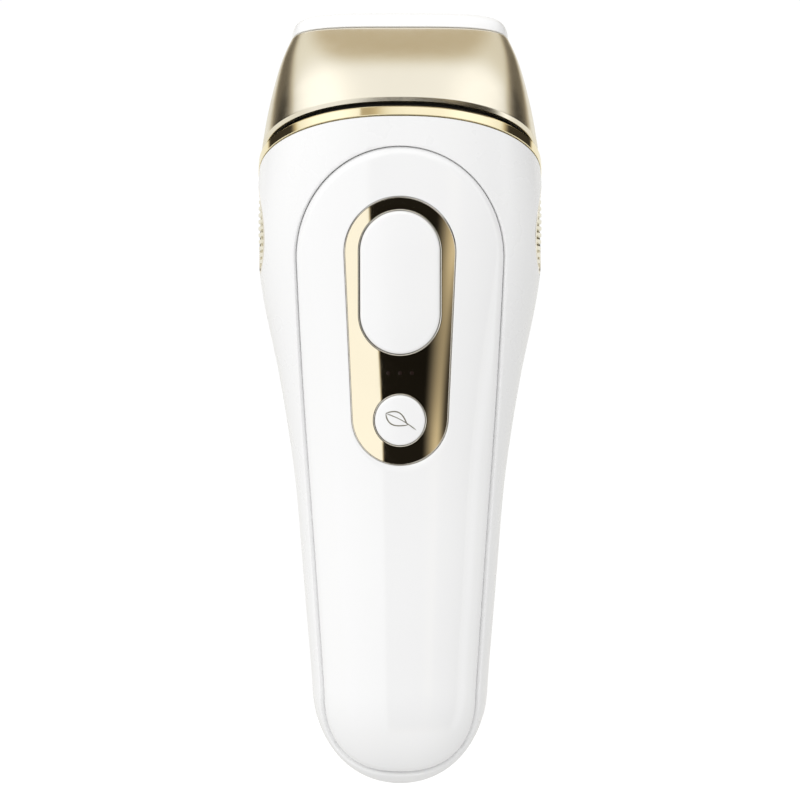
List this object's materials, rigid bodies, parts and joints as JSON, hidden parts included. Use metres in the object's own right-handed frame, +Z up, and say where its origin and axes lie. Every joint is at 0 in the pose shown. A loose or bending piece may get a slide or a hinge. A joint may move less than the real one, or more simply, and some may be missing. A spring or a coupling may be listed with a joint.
{
  "type": "ipl hair remover",
  "caption": "Handheld light-based hair remover: tapered white grip with thumb trigger, mode button and side vents, and a gold pull-off treatment head tilted at the top.",
  "frame": {"origin": "on the handle's middle line at the centre of the hand grip, 48 mm above the lowest point", "axes": "+Z up along the handle towards the head, front with the buttons towards -Y, head leaning back towards +Y, +X to the right seen from the front"},
  "size_m": [0.061, 0.0451, 0.1659],
  "materials": {
    "white_shell": "white gloss-moulded plastic with a fine texture",
    "white_panel": "high-gloss white lacquered plastic",
    "white_button": "polished white plastic",
    "champagne_satin": "satin champagne-gold metallised shell",
    "mirror_gold": "mirror pale-gold plating",
    "bright_gold": "polished gold-plated trim",
    "window_white": "smooth white skin-contact plastic",
    "black_plastic": "fine-textured black plastic",
    "black_rubber": "black silicone seal",
    "steel": "zinc-plated steel",
    "treatment_glass": "clear sapphire-like pane",
    "quartz": "clear quartz tube",
    "orange_filter": "orange cut-off filter glass",
    "reflector_silver": "polished silvered aluminium",
    "sink_aluminium": "extruded aluminium",
    "circuit_board": "green solder-masked board",
    "capacitor_sleeve": "dark blue shrink sleeve",
    "copper_wire": "enamelled copper winding",
    "ferrite": "dark grey ferrite",
    "red_silicone": "red silicone lead",
    "light_pipe": "frosted light pipe"
  },
  "bodies": {
    "root": {"front_shell": "white_shell", "rear_shell": "white_shell", "front_panel": "white_panel", "control_plate": "mirror_gold", "collar_ring": "bright_gold", "neck_ring": "black_plastic", "neck_seal": "black_rubber", "left_head_latch": "steel", "right_head_latch": "steel", "left_vent_grille": "champagne_satin", "right_vent_grille": "champagne_satin", "lamp_holder": "black_plastic", "reflector": "reflector_silver", "flash_lamp": "quartz", "left_lamp_cap": "steel", "right_lamp_cap": "steel", "filter_glass": "orange_filter", "heat_sink": "sink_aluminium", "fan_frame": "black_plastic", "main_board": "circuit_board", "control_board": "circuit_board", "trigger_switch": "black_plastic", "mode_switch": "black_plastic", "flash_capacitor": "capacitor_sleeve", "transformer_core": "ferrite", "transformer_winding": "copper_wire", "trigger_coil": "copper_wire", "power_inlet": "black_plastic", "inlet_pin": "steel", "status_light_1": "light_pipe", "status_light_2": "light_pipe", "status_light_3": "light_pipe", "shell_screw_1": "steel", "shell_screw_2": "steel", "shell_screw_3": "steel", "shell_screw_4": "steel", "left_lamp_lead": "red_silicone", "right_lamp_lead": "red_silicone"},
    "trigger": {"trigger_button": "white_button"},
    "mode": {"mode_button": "white_button"},
    "head": {"head_shell": "champagne_satin", "head_inner_frame": "black_plastic", "light_guide": "reflector_silver", "window_frame": "window_white", "window_glass": "treatment_glass", "skin_sensor": "treatment_glass"},
    "fan": {"fan_rotor": "black_plastic"}
  },
  "joints": [
    {"name": "trigger_press", "type": "slide", "parent": "root", "child": "trigger", "axis": [0, 1, 0], "range_m": [0, 0.001], "stiffness_N_per_m": 1500, "springref_m": -0.001},
    {"name": "mode_press", "type": "slide", "parent": "root", "child": "mode", "axis": [0, 1, 0], "range_m": [0, 0.0006], "stiffness_N_per_m": 1500, "springref_m": -0.001},
    {"name": "head_release", "type": "slide", "parent": "root", "child": "head", "axis": [0, 0.3746, 0.9272], "range_m": [0, 0.035]},
    {"name": "fan_spin", "type": "hinge", "parent": "root", "child": "fan", "pos_m": [0, 0.003, 0.054], "axis": [0, 0, 1], "continuous": true}
  ]
}
